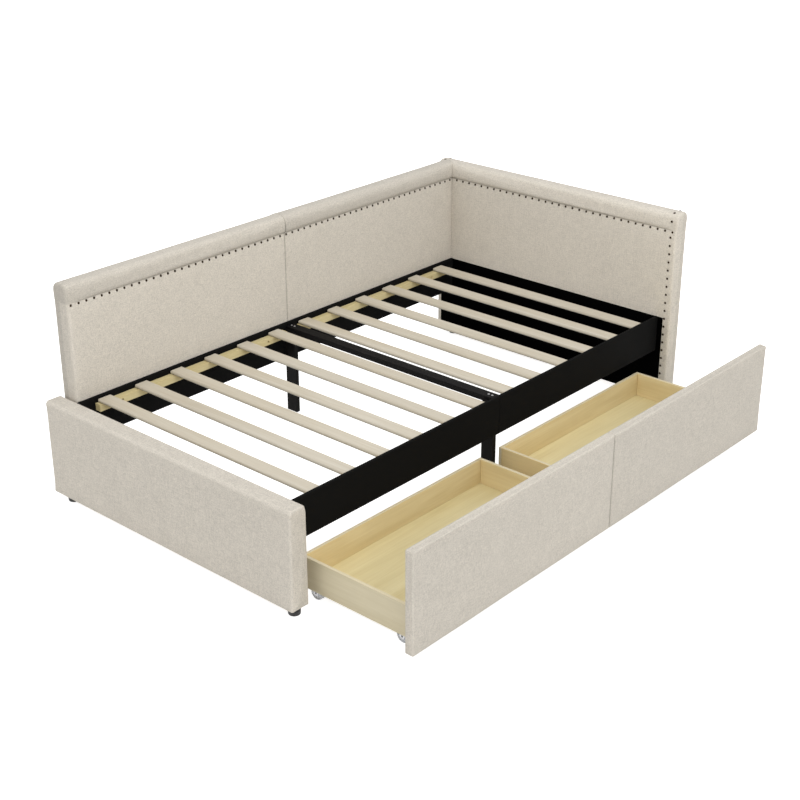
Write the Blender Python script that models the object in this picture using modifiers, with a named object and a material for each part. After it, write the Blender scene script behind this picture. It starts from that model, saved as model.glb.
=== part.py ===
"""Storage daybed for a twin mattress, with a slatted base and two rolling drawers drawn out of its front.

Lengths are in metres and +Z is up. Places are measured from the mattress bay: X = 0 is the middle of
its length, Y = 0 the inner face of the front rail, and Z = 0 the floor. The drawers face -Y. One empty
carries the whole bed and moves it so that the origin lies on the floor under the middle of its box.
"""

import math

import bmesh
import bpy
from mathutils import Matrix, Vector

# Mattress bay, for a mattress of 1.91 by 0.99
BAY_LENGTH = 1.920  # footboard's face to side panel's face
BAY_WIDTH = 0.995  # front rail's inner face to back panel's face

# Clearances
SEAT_GAP = 0.0003  # between faces that rest on each other
WELD_DISTANCE = SEAT_GAP / 10  # points closer than this are one point
CUT_OVERRUN = 0.020  # how far a cutter runs past the face that it enters by

# Upholstered panels
FOOTBOARD_THICKNESS = 0.068
FOOTBOARD_TOP = 0.357
FOOTBOARD_REACH = 0.070  # how far it stands out in front of the front rail's inner face
FOOTBOARD_ROUNDING = 0.014
TALL_THICKNESS = 0.071
TALL_TOP = 0.747
SIDE_REACH = 0.062
PANEL_BOTTOM = 0.022  # the feet's height
BACK_BOTTOM = 0.230
BACK_END_GAP = 0.0075  # footboard's face to the back panel's left end
BACK_SEAM_X = 0.011  # where the back panel's halves meet
COVER_ROUNDING = 0.005  # ends of the tall covers
ROLL_CREASE = 0.688  # height of the crease under the top roll
ROLL_WIDEST = 0.704  # height at which the roll stands out most
ROLL_PROUD = 0.007  # how far it stands out from the face
ROLL_POWER = 3.2  # squareness of the roll's section, 2 being an ellipse
ROLL_STEPS = 12
CREASE_STEPS = 3
ROUNDING_STEPS = 3
COVER_ROUNDING_STEPS = 2
SQUARE_ANGLE = math.radians(75)  # edges that turn more than this are rounded
SMOOTH_ANGLE = math.radians(40)  # edges that turn less than this are shaded smooth

# Boards inside the panels
BOARD_THICKNESS = 0.030
BOARD_END_MARGIN = 0.018  # padding over the board's ends
BOARD_TOP_MARGIN = 0.022  # padding over its top edge
LINING_THICKNESS = 0.0015
LINING_TOP = 0.345
LINING_FRONT_REACH = 0.0316
LINING_BACK_MARGIN = 0.021  # side panel's back end to the lining's

# Feet
FOOT_RADIUS = 0.0175
FOOT_EDGE = 0.002  # bevel on the foot's rims
FOOT_FRONT_INSET = 0.030  # panel's front end to the foot's axis
FOOT_BACK_INSET = 0.062
ROUND_SIDES = 24

# Rails, ledges and slats
RAIL_TOP = 0.347
RAIL_HEIGHT = 0.137
RAIL_THICKNESS = 0.012
RAIL_EDGE = 0.0015  # bevel on wooden and steel edges
SLAT_COUNT = 12
SLAT_END_MARGIN = 0.081  # panel's face to the outermost slat
SLAT_WIDTH = 0.053
SLAT_THICKNESS = 0.012
SLAT_DROP = 0.008  # rail's top to the slats' tops
SLAT_END_GAP = 0.001
SLAT_EDGE = 0.003
LEDGE_THICKNESS = 0.024
LEDGE_HEIGHT = 0.025
LEDGE_OUTER_MARGIN = 0.072  # panel's face to the ledge's end
LEDGE_INNER_MARGIN = 0.030  # middle of the bay to the ledge's other end
LEDGE_HOLE_MARGIN = 0.094  # ledge's end to the middle of its hole
LEDGE_HOLE_RADIUS = 0.0045
HOLE_SIDES = 16

# Middle support
BAR_WIDTH = 0.038
BAR_SHIFT = 0.0105  # middle of the bay to the middle of the bar
BAR_HEIGHT = 0.020
BAR_DROP = 0.012  # rail's top to the bar's top
LEG_THICKNESS = 0.016
LEG_DEPTH = 0.049
LEG_SHIFT = 0.008  # middle of the legs to the middle of the bay

# Drawers, in the pose that the daybed is shown in: drawn out
FRONT_HEIGHT = 0.330
FRONT_THICKNESS = 0.030
FRONT_END_GAP = 0.0055  # panel's face to the front's end
FRONT_SEAM_GAP = 0.0006  # between the two fronts
FRONT_ROUNDING = 0.008
DRAWN_OUT = 0.435  # front rail's inner face to the front's inner face
BOX_DEPTH = 0.444
LEFT_BOX_MARGIN = 0.041  # left drawer: front's left end to the box
RIGHT_BOX_MARGIN = 0.029  # right drawer: the same
BOX_MARGINS = 0.1122  # both ends of either front that the box leaves free, together
WALL_BOTTOM = 0.037
WALL_TOP = 0.143
WALL_THICKNESS = 0.012
WALL_EDGE = 0.001
GROOVE_DEPTH = 0.006
DRAWER_BOTTOM_THICKNESS = 0.005

# Casters
WHEEL_RADIUS = 0.023
WHEEL_WIDTH = 0.018
WHEEL_ROUNDING = 0.003
WHEEL_TOP_CLEARANCE = 0.001
WHEEL_SIDE_CLEARANCE = 0.0008
AXLE_RADIUS = 0.003
AXLE_CLEARANCE = 0.0003
HUB_RADIUS = 0.009
HUB_RECESS = 0.002  # how far the wheel's faces are dished round the hub
RIM_WIDTH = 0.005
BRACKET_GAUGE = 0.0015
BRACKET_DEPTH = 0.034  # along the drawer's travel
CHEEK_END_RADIUS = 0.007
CASTER_WALL_GAP = 0.0005  # wall's inner face to the bracket
CASTER_FRONT_INSET = 0.058  # front's inner face to the front wheels' axles
CASTER_BACK_INSET = 0.046  # box's back to the back wheels' axles

# Levels and places that follow
SLAT_TOP = RAIL_TOP - SLAT_DROP
SLAT_BOTTOM = SLAT_TOP - SLAT_THICKNESS
SLAT_PITCH = (BAY_LENGTH - 2 * SLAT_END_MARGIN - SLAT_WIDTH) / (SLAT_COUNT - 1)
LEDGE_TOP = SLAT_BOTTOM - SEAT_GAP
LEDGE_LENGTH = BAY_LENGTH / 2 - LEDGE_OUTER_MARGIN - LEDGE_INNER_MARGIN
BAR_TOP = RAIL_TOP - BAR_DROP
FOOTBOARD_X = -BAY_LENGTH / 2
SIDE_X = BAY_LENGTH / 2
LINING_X = SIDE_X - SEAT_GAP - LINING_THICKNESS
BACK_Y = BAY_WIDTH + TALL_THICKNESS
BACK_RAIL_Y = BAY_WIDTH - RAIL_THICKNESS
FRONT_BOTTOM = PANEL_BOTTOM
BOTTOM_LEVEL = 2 * WHEEL_RADIUS + WHEEL_TOP_CLEARANCE + BRACKET_GAUGE + SEAT_GAP
FRONT_LENGTH = BAY_LENGTH / 2 - FRONT_END_GAP - FRONT_SEAM_GAP / 2
BOX_WIDTH = FRONT_LENGTH - BOX_MARGINS
BOX_WALL_LENGTH = BOX_DEPTH - WALL_THICKNESS - SEAT_GAP

# The origin, on the floor under the middle of the box that bounds the whole bed
ORIGIN_X = (SIDE_X + TALL_THICKNESS + FOOTBOARD_X - FOOTBOARD_THICKNESS) / 2
ORIGIN_Y = (BACK_Y - DRAWN_OUT - FRONT_THICKNESS) / 2

# Colours: red, green, blue, roughness, metallic
FABRIC = (0.66, 0.61, 0.54, 0.95, 0.0)
BLACK_FINISH = (0.012, 0.012, 0.012, 0.55, 0.0)
BLACK_STEEL = (0.015, 0.015, 0.016, 0.45, 0.6)
BLACK_CLOTH = (0.01, 0.01, 0.01, 0.95, 0.0)
BLACK_PLASTIC = (0.02, 0.02, 0.02, 0.5, 0.0)
BOARD_WOOD = (0.55, 0.42, 0.27, 0.8, 0.0)
SLAT_WOOD = (0.70, 0.60, 0.45, 0.6, 0.0)
PINE = (0.68, 0.52, 0.28, 0.6, 0.0)
PLYWOOD = (0.66, 0.50, 0.27, 0.6, 0.0)
CLEAR_PLASTIC = (0.75, 0.76, 0.80, 0.2, 0.0)
CASTER_STEEL = (0.55, 0.55, 0.56, 0.35, 0.9)


def clear_scene():
    for old in list(bpy.data.objects):
        bpy.data.objects.remove(old, do_unlink=True)


def new_collection(name):
    made = bpy.data.collections.new(name)
    bpy.context.scene.collection.children.link(made)
    return made


def new_material(name, finish):
    made = bpy.data.materials.new(name)
    made.use_nodes = True
    shader = made.node_tree.nodes["Principled BSDF"]
    shader.inputs["Base Color"].default_value = (*finish[:3], 1.0)
    shader.inputs["Roughness"].default_value = finish[3]
    shader.inputs["Metallic"].default_value = finish[4]
    made.diffuse_color = (*finish[:3], 1.0)
    return made


def new_object(name, mesh, finish, parent, location=(0, 0, 0), rotation=(0, 0, 0)):
    """A part with its own material, placed under its parent."""
    made = bpy.data.objects.new(name, mesh)
    mesh.shade_smooth()
    mesh.set_sharp_from_angle(angle=SMOOTH_ANGLE)
    mesh.materials.clear()
    mesh.materials.append(new_material(name, finish))
    parts.objects.link(made)
    made.parent = parent
    made.location = location
    made.rotation_euler = rotation
    return made


def new_empty(name, parent, location):
    made = bpy.data.objects.new(name, None)
    parts.objects.link(made)
    made.parent = parent
    made.location = location
    return made


def box_mesh(name, size):
    mesh = bpy.data.meshes.new(name)
    work = bmesh.new()
    bmesh.ops.create_cube(work, size=1)
    bmesh.ops.scale(work, vec=size, verts=work.verts)
    work.to_mesh(mesh)
    work.free()
    return mesh


def cylinder_mesh(name, radius, length, sides, axis="Z"):
    mesh = bpy.data.meshes.new(name)
    work = bmesh.new()
    bmesh.ops.create_cone(
        work, cap_ends=True, segments=sides, radius1=radius, radius2=radius, depth=length
    )
    turns = {"X": ("Y", math.pi / 2), "Y": ("X", math.pi / 2)}
    if axis in turns:
        about, angle = turns[axis]
        bmesh.ops.rotate(work, verts=work.verts, matrix=Matrix.Rotation(angle, 3, about))
    work.to_mesh(mesh)
    work.free()
    return mesh


def round_edges(made, width, steps=1):
    """Rounds the square corners, and leaves the roll and its crease, whose steps turn less."""
    bevel = made.modifiers.new("Rounding", "BEVEL")
    bevel.width = width
    bevel.segments = steps
    bevel.limit_method = "ANGLE"
    bevel.angle_limit = SQUARE_ANGLE
    bevel.use_clamp_overlap = False
    bevel.harden_normals = True
    return made


def box(name, low, high, finish, parent, rounding=0, steps=1):
    """A block between two corners given in its parent's frame."""
    low = Vector(low)
    high = Vector(high)
    made = new_object(name, box_mesh(name, high - low), finish, parent, (low + high) / 2)
    if rounding:
        round_edges(made, rounding, steps)
    return made


def as_cutter(made):
    cutters.objects.link(made)
    made.hide_render = True
    made.display_type = "WIRE"
    return made


def box_cutter(name, low, high, parent):
    low = Vector(low)
    high = Vector(high)
    made = as_cutter(bpy.data.objects.new(name, box_mesh(name, high - low)))
    made.parent = parent
    made.location = (low + high) / 2
    return made


def round_cutter(name, centre, radius, length, sides, axis, parent):
    made = as_cutter(bpy.data.objects.new(name, cylinder_mesh(name, radius, length, sides, axis)))
    made.parent = parent
    made.location = centre
    return made


def combine(made, other, operation, solver="EXACT"):
    boolean = made.modifiers.new(other.name, "BOOLEAN")
    boolean.operation = operation
    boolean.solver = solver
    boolean.object = other


def outline_mesh(name, points, length):
    """A flat outline drawn in X and Y, given a thickness along Z."""
    data = bpy.data.curves.new(name, "CURVE")
    data.dimensions = "2D"
    data.fill_mode = "BOTH"
    data.extrude = length / 2
    line = data.splines.new("POLY")
    line.points.add(len(points) - 1)
    for point, (across, up) in zip(line.points, points):
        point.co = (across, up, 0, 1)
    line.use_cyclic_u = True
    drawn = bpy.data.objects.new(name, data)
    bpy.context.scene.collection.objects.link(drawn)
    graph = bpy.context.evaluated_depsgraph_get()
    mesh = bpy.data.meshes.new_from_object(drawn.evaluated_get(graph))
    bpy.data.objects.remove(drawn, do_unlink=True)
    work = bmesh.new()
    work.from_mesh(mesh)
    bmesh.ops.remove_doubles(work, verts=work.verts, dist=WELD_DISTANCE)
    bmesh.ops.recalc_face_normals(work, faces=work.faces)
    work.to_mesh(mesh)
    work.free()
    return mesh


def roll_outline(bottom, spare=0):
    """Section of a tall cover: X from the inner face to the outer one, Y up, with the padded roll on top.

    A cutter takes the same section with its inner face moved out by a spare gap.
    """
    points = [(TALL_THICKNESS, bottom), (TALL_THICKNESS, ROLL_WIDEST)]
    half = (TALL_THICKNESS + ROLL_PROUD + spare) / 2
    for step in range(1, ROLL_STEPS):
        turn = math.pi * step / ROLL_STEPS
        across = math.copysign(abs(math.cos(turn)) ** (2 / ROLL_POWER), math.cos(turn))
        up = math.sin(turn) ** (2 / ROLL_POWER)
        height = TALL_TOP + spare - ROLL_WIDEST
        points.append((TALL_THICKNESS - half + half * across, ROLL_WIDEST + height * up))
    for step in range(CREASE_STEPS + 1):
        turn = math.pi / 2 * step / CREASE_STEPS
        drop = (ROLL_WIDEST - ROLL_CREASE + spare) * math.sin(turn)
        points.append((-spare - ROLL_PROUD * math.cos(turn), ROLL_WIDEST - drop))
    points.append((-spare, bottom))
    return points


def add_foot(name, x, y, parent):
    height = PANEL_BOTTOM - SEAT_GAP
    mesh = cylinder_mesh(name, FOOT_RADIUS, height, ROUND_SIDES)
    round_edges(new_object(name, mesh, BLACK_PLASTIC, parent, (x, y, height / 2)), FOOT_EDGE)


def add_board(name, low, high, cover, parent):
    """A board in a pocket that opens at the cover's bottom edge."""
    box(name, low, high, BOARD_WOOD, parent)
    gap = Vector((SEAT_GAP, SEAT_GAP, SEAT_GAP))
    below = Vector(low) - gap
    below.z = low[2] - CUT_OVERRUN
    combine(cover, box_cutter(name + "_pocket", below, Vector(high) + gap, parent), "DIFFERENCE")


def add_footboard(bed):
    outer = FOOTBOARD_X - FOOTBOARD_THICKNESS
    cover = box(
        "footboard_cover",
        (outer, -FOOTBOARD_REACH, PANEL_BOTTOM),
        (FOOTBOARD_X, BACK_Y, FOOTBOARD_TOP),
        FABRIC,
        bed,
        FOOTBOARD_ROUNDING,
        ROUNDING_STEPS,
    )
    middle = (outer + FOOTBOARD_X) / 2
    add_board(
        "footboard_board",
        (middle - BOARD_THICKNESS / 2, BOARD_END_MARGIN - FOOTBOARD_REACH, PANEL_BOTTOM),
        (middle + BOARD_THICKNESS / 2, BACK_Y - BOARD_END_MARGIN, FOOTBOARD_TOP - BOARD_TOP_MARGIN),
        cover,
        bed,
    )
    add_foot("footboard_foot_front", middle, FOOT_FRONT_INSET - FOOTBOARD_REACH, bed)
    add_foot("footboard_foot_back", middle, BACK_Y - FOOT_BACK_INSET, bed)


def add_side_panel(bed):
    length = BACK_Y + SIDE_REACH
    cover = new_object(
        "side_panel_cover",
        outline_mesh("side_panel_cover", roll_outline(PANEL_BOTTOM), length),
        FABRIC,
        bed,
        (SIDE_X, BACK_Y - length / 2, 0),
        (math.pi / 2, 0, 0),
    )
    round_edges(cover, COVER_ROUNDING, COVER_ROUNDING_STEPS)
    middle = SIDE_X + TALL_THICKNESS / 2
    add_board(
        "side_panel_board",
        (middle - BOARD_THICKNESS / 2, BOARD_END_MARGIN - SIDE_REACH, PANEL_BOTTOM),
        (middle + BOARD_THICKNESS / 2, BACK_Y - BOARD_END_MARGIN, TALL_TOP - BOARD_TOP_MARGIN),
        cover,
        bed,
    )
    box(
        "side_panel_lining",
        (LINING_X, -LINING_FRONT_REACH, PANEL_BOTTOM),
        (SIDE_X - SEAT_GAP, BACK_Y - LINING_BACK_MARGIN, LINING_TOP),
        BLACK_CLOTH,
        bed,
    )
    add_foot("side_panel_foot_front", middle, FOOT_FRONT_INSET - SIDE_REACH, bed)
    add_foot("side_panel_foot_back", middle, BACK_Y - FOOT_BACK_INSET, bed)


def add_back_half(side, start, end, bed):
    name = "back_panel_" + side
    cover = new_object(
        name + "_cover",
        outline_mesh(name + "_cover", roll_outline(BACK_BOTTOM), end - start),
        FABRIC,
        bed,
        ((start + end) / 2, BAY_WIDTH, 0),
        (math.pi / 2, 0, math.pi / 2),
    )
    round_edges(cover, COVER_ROUNDING, COVER_ROUNDING_STEPS)
    middle = BAY_WIDTH + TALL_THICKNESS / 2
    add_board(
        name + "_board",
        (start + BOARD_END_MARGIN, middle - BOARD_THICKNESS / 2, BACK_BOTTOM),
        (end - BOARD_END_MARGIN, middle + BOARD_THICKNESS / 2, TALL_TOP - BOARD_TOP_MARGIN),
        cover,
        bed,
    )
    return cover


def add_back_panel(bed):
    """Both halves, the right one shaped at its end to the side panel's face and roll."""
    add_back_half("left", FOOTBOARD_X + BACK_END_GAP, BACK_SEAM_X - SEAT_GAP / 2, bed)
    right = add_back_half("right", BACK_SEAM_X + SEAT_GAP / 2, LINING_X - SEAT_GAP, bed)
    section = roll_outline(BACK_BOTTOM - CUT_OVERRUN, SEAT_GAP)
    mesh = outline_mesh("side_panel_shape", section, TALL_THICKNESS + 2 * CUT_OVERRUN)
    shape = as_cutter(bpy.data.objects.new("side_panel_shape", mesh))
    shape.parent = bed
    shape.location = (SIDE_X, BAY_WIDTH + TALL_THICKNESS / 2, 0)
    shape.rotation_euler = (math.pi / 2, 0, 0)
    combine(right, shape, "DIFFERENCE", "MANIFOLD")


def add_rails(bed):
    """Front and back rails, each in two halves that meet over the middle support."""
    halves = {
        "left": (FOOTBOARD_X + SEAT_GAP, -SEAT_GAP / 2),
        "right": (SEAT_GAP / 2, LINING_X - SEAT_GAP),
    }
    faces = {"front": (-RAIL_THICKNESS, 0), "back": (BACK_RAIL_Y, BAY_WIDTH - SEAT_GAP)}
    for face, (near, far) in faces.items():
        for side, (start, end) in halves.items():
            box(
                f"{face}_rail_{side}",
                (start, near, RAIL_TOP - RAIL_HEIGHT),
                (end, far, RAIL_TOP),
                BLACK_FINISH,
                bed,
                RAIL_EDGE,
            )


def add_ledges(bed):
    """Battens along the rails, under the slats' ends, each with two screw holes."""
    starts = {
        "left": FOOTBOARD_X + LEDGE_OUTER_MARGIN,
        "right": LEDGE_INNER_MARGIN,
    }
    nears = {"front": SEAT_GAP, "back": BACK_RAIL_Y - SEAT_GAP - LEDGE_THICKNESS}
    for face, near in nears.items():
        for side, start in starts.items():
            name = f"ledge_{face}_{side}"
            ledge = box(
                name,
                (start, near, LEDGE_TOP - LEDGE_HEIGHT),
                (start + LEDGE_LENGTH, near + LEDGE_THICKNESS, LEDGE_TOP),
                PINE,
                bed,
            )
            for x in (start + LEDGE_HOLE_MARGIN, start + LEDGE_LENGTH - LEDGE_HOLE_MARGIN):
                centre = (x, near + LEDGE_THICKNESS / 2, LEDGE_TOP - LEDGE_HEIGHT / 2)
                length = LEDGE_THICKNESS + 2 * CUT_OVERRUN
                hole = round_cutter(
                    name + "_hole", centre, LEDGE_HOLE_RADIUS, length, HOLE_SIDES, "Y", bed
                )
                combine(ledge, hole, "DIFFERENCE")


def add_center_support(bed):
    """A cross bar under the mattress with a leg behind each rail, welded into one frame."""
    near = SEAT_GAP
    far = BACK_RAIL_Y - SEAT_GAP
    bar = box(
        "center_support",
        (BAR_SHIFT - BAR_WIDTH / 2, near, BAR_TOP - BAR_HEIGHT),
        (BAR_SHIFT + BAR_WIDTH / 2, far, BAR_TOP),
        BLACK_STEEL,
        bed,
    )
    leg_top = BAR_TOP - BAR_HEIGHT / 2
    for name, start in (("front", near), ("back", far - LEG_DEPTH)):
        leg = box_cutter(
            f"center_support_{name}_leg",
            (-LEG_SHIFT - LEG_THICKNESS / 2, start, 0),
            (LEG_THICKNESS / 2 - LEG_SHIFT, start + LEG_DEPTH, leg_top),
            bed,
        )
        combine(bar, leg, "UNION")


def add_slats(bed):
    for number in range(SLAT_COUNT):
        x = (number - (SLAT_COUNT - 1) / 2) * SLAT_PITCH
        box(
            f"slat_{number + 1:02d}",
            (x - SLAT_WIDTH / 2, SLAT_END_GAP, SLAT_BOTTOM),
            (x + SLAT_WIDTH / 2, BACK_RAIL_Y - SLAT_END_GAP, SLAT_TOP),
            SLAT_WOOD,
            bed,
            SLAT_EDGE,
        )


def add_wall(name, low, high, groove_low, groove_high, drawer):
    wall = box(name, low, high, PLYWOOD, drawer, WALL_EDGE)
    combine(wall, box_cutter(name + "_groove", groove_low, groove_high, drawer), "DIFFERENCE")


def add_box(side, left, drawer):
    """Three grooved walls round a thin bottom, with the upholstered front as the fourth."""
    right = left + BOX_WIDTH
    back = BOX_DEPTH - WALL_THICKNESS
    groove_bottom = BOTTOM_LEVEL - SEAT_GAP
    groove_top = BOTTOM_LEVEL + DRAWER_BOTTOM_THICKNESS + SEAT_GAP
    groove_end = back + GROOVE_DEPTH
    inner_left = left + WALL_THICKNESS
    inner_right = right - WALL_THICKNESS
    name = f"drawer_{side}_"
    add_wall(
        name + "wall_left",
        (left, SEAT_GAP, WALL_BOTTOM),
        (inner_left, BOX_WALL_LENGTH, WALL_TOP),
        (inner_left - GROOVE_DEPTH, -CUT_OVERRUN, groove_bottom),
        (inner_left + CUT_OVERRUN, BOX_DEPTH, groove_top),
        drawer,
    )
    add_wall(
        name + "wall_right",
        (inner_right, SEAT_GAP, WALL_BOTTOM),
        (right, BOX_WALL_LENGTH, WALL_TOP),
        (inner_right - CUT_OVERRUN, -CUT_OVERRUN, groove_bottom),
        (inner_right + GROOVE_DEPTH, BOX_DEPTH, groove_top),
        drawer,
    )
    add_wall(
        name + "wall_back",
        (left, back, WALL_BOTTOM),
        (right, BOX_DEPTH, WALL_TOP),
        (inner_left - GROOVE_DEPTH, back - CUT_OVERRUN, groove_bottom),
        (inner_right + GROOVE_DEPTH, groove_end, groove_top),
        drawer,
    )
    tongue = GROOVE_DEPTH - SEAT_GAP
    box(
        name + "bottom",
        (inner_left - tongue, SEAT_GAP, BOTTOM_LEVEL),
        (inner_right + tongue, back + tongue, BOTTOM_LEVEL + DRAWER_BOTTOM_THICKNESS),
        PLYWOOD,
        drawer,
    )


def wheel_mesh(name):
    """A turned wheel with dished faces and its axle, lying along X."""
    half = WHEEL_WIDTH / 2
    axle_half = half + WHEEL_SIDE_CLEARANCE + BRACKET_GAUGE
    inner_rim = WHEEL_RADIUS - RIM_WIDTH
    profile = [
        (0, axle_half),
        (AXLE_RADIUS, axle_half),
        (AXLE_RADIUS, half),
        (HUB_RADIUS, half),
        (HUB_RADIUS, half - HUB_RECESS),
        (inner_rim, half - HUB_RECESS),
        (inner_rim, half),
        (WHEEL_RADIUS - WHEEL_ROUNDING, half),
        (WHEEL_RADIUS, half - WHEEL_ROUNDING),
    ]
    profile += [(radius, -along) for radius, along in reversed(profile)]
    work = bmesh.new()
    points = [work.verts.new((along, radius, 0)) for radius, along in profile]
    for first, second in zip(points, points[1:]):
        work.edges.new((first, second))
    bmesh.ops.spin(
        work,
        geom=work.verts[:] + work.edges[:],
        axis=(1, 0, 0),
        cent=(0, 0, 0),
        angle=2 * math.pi,
        steps=ROUND_SIDES,
        use_duplicate=False,
    )
    bmesh.ops.remove_doubles(work, verts=work.verts, dist=WELD_DISTANCE)
    bmesh.ops.recalc_face_normals(work, faces=work.faces)
    mesh = bpy.data.meshes.new(name)
    work.to_mesh(mesh)
    work.free()
    return mesh


def add_caster(name, wheel_name, x, y, drawer):
    """A bracket under the drawer's bottom and its wheel, centred at x and y."""
    across = WHEEL_WIDTH + 2 * WHEEL_SIDE_CLEARANCE
    outer = across / 2 + BRACKET_GAUGE
    top = BOTTOM_LEVEL - SEAT_GAP
    bracket = box(
        name,
        (x - outer, y - BRACKET_DEPTH / 2, WHEEL_RADIUS - CHEEK_END_RADIUS),
        (x + outer, y + BRACKET_DEPTH / 2, top),
        CASTER_STEEL,
        drawer,
    )
    inside = box_cutter(
        name + "_inside",
        (x - across / 2, y - BRACKET_DEPTH, -CUT_OVERRUN),
        (x + across / 2, y + BRACKET_DEPTH, top - BRACKET_GAUGE),
        drawer,
    )
    combine(bracket, inside, "DIFFERENCE")
    for sign in (-1, 1):
        taper = cheek_cutter(f"{name}_taper_{'near' if sign < 0 else 'far'}", x, y, sign, outer, drawer)
        combine(bracket, taper, "DIFFERENCE")
    hole = round_cutter(
        name + "_hole",
        (x, y, WHEEL_RADIUS),
        AXLE_RADIUS + AXLE_CLEARANCE,
        2 * (outer + CUT_OVERRUN),
        ROUND_SIDES,
        "X",
        drawer,
    )
    combine(bracket, hole, "DIFFERENCE")
    new_object(wheel_name, wheel_mesh(wheel_name), CLEAR_PLASTIC, drawer, (x, y, WHEEL_RADIUS))


def cheek_cutter(name, x, y, sign, outer, drawer):
    """A wedge that tapers the bracket's cheeks towards the axle, on one side of it."""
    top = BOTTOM_LEVEL - SEAT_GAP - 2 * BRACKET_GAUGE
    bottom = WHEEL_RADIUS - CHEEK_END_RADIUS - CUT_OVERRUN
    half = BRACKET_DEPTH / 2
    slope = (half - CHEEK_END_RADIUS) / (top - WHEEL_RADIUS + CHEEK_END_RADIUS)
    low_reach = CHEEK_END_RADIUS - slope * CUT_OVERRUN
    points = [(sign * half, top), (sign * low_reach, bottom), (sign * (half + CUT_OVERRUN), bottom)]
    points.append((sign * (half + CUT_OVERRUN), top))
    if sign > 0:
        points.reverse()
    mesh = outline_mesh(name, points, 2 * (outer + CUT_OVERRUN))
    made = as_cutter(bpy.data.objects.new(name, mesh))
    made.parent = drawer
    made.location = (x, y, 0)
    made.rotation_euler = (math.pi / 2, 0, math.pi / 2)
    return made


def add_drawer(side, front_start, box_margin, bed):
    """A drawer in its own frame: X from its front's left end, Y from the front's inner face, Z up."""
    drawer = new_empty(f"drawer_{side}", bed, (front_start, -DRAWN_OUT, 0))
    box(
        f"drawer_{side}_front",
        (0, -FRONT_THICKNESS, FRONT_BOTTOM),
        (FRONT_LENGTH, 0, FRONT_BOTTOM + FRONT_HEIGHT),
        FABRIC,
        drawer,
        FRONT_ROUNDING,
        ROUNDING_STEPS,
    )
    add_box(side, box_margin, drawer)
    inset = WALL_THICKNESS + CASTER_WALL_GAP + BRACKET_GAUGE + WHEEL_SIDE_CLEARANCE + WHEEL_WIDTH / 2
    columns = {"left": box_margin + inset, "right": box_margin + BOX_WIDTH - inset}
    rows = {"front": CASTER_FRONT_INSET, "back": BOX_DEPTH - CASTER_BACK_INSET}
    for row, y in rows.items():
        for column, x in columns.items():
            place = f"{row}_{column}"
            add_caster(f"drawer_{side}_caster_{place}", f"drawer_{side}_wheel_{place}", x, y, drawer)


def build():
    bed = new_empty("daybed", None, (-ORIGIN_X, -ORIGIN_Y, 0))
    add_footboard(bed)
    add_side_panel(bed)
    add_back_panel(bed)
    add_rails(bed)
    add_ledges(bed)
    add_center_support(bed)
    add_slats(bed)
    add_drawer("left", FOOTBOARD_X + FRONT_END_GAP, LEFT_BOX_MARGIN, bed)
    add_drawer("right", FRONT_SEAM_GAP / 2, RIGHT_BOX_MARGIN, bed)


clear_scene()
parts = new_collection("storage_daybed")
cutters = new_collection("cutters")
build()
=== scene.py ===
"""Looks of the storage daybed: padded panels, nails, turned feet and wheels, and the solids' finishes."""

import math

import bmesh
import bpy
import numpy as np
from mathutils import Matrix, Vector, noise
from mathutils.bvhtree import BVHTree


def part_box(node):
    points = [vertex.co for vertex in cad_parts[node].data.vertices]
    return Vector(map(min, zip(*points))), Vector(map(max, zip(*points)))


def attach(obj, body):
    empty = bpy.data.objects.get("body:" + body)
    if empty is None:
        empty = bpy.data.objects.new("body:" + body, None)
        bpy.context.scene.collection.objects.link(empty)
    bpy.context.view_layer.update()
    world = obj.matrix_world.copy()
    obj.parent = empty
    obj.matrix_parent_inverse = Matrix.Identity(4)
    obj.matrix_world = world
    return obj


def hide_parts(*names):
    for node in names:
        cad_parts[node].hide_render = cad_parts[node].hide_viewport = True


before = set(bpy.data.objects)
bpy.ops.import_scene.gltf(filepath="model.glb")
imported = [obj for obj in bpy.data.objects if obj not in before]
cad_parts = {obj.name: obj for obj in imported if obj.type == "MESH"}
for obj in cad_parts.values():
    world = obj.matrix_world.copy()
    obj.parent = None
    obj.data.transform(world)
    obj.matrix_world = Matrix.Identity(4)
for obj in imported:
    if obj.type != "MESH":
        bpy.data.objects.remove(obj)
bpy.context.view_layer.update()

# Camera, in metres and radians
CAMERA_PLACE = (-3.50494, -2.97799, 2.35793)
CAMERA_YAW = 0.84548
CAMERA_PITCH = 0.43195
CAMERA_ROLL = -0.00115
LENS_MM = 65.973
SENSOR_MM = 36.0

# Light
WORLD_LEVEL = 0.72
FLOOR_GLOW = 0.80
FLOOR_TONE = 0.80
FLOOR_SIZE = 60.0
FLOOR_DROP = 0.0002
LAMPS = (
    # name, where it lies from the bed, strength, angle in degrees
    ("front_lamp", (-0.2, -0.8, 0.55), 0.78, 40.0),
    ("left_lamp", (-0.85, 0.0, 0.5), 0.34, 40.0),
    ("top_lamp", (0.1, -0.1, 1.0), 0.18, 60.0),
)
FILL_PLACE = (-0.5, -0.6, 1.9)  # soft lamp over the mattress bay
FILL_AIM = (0.6, 0.5, 0.45)
FILL_SIZE = 1.6
FILL_POWER = 5.5

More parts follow.
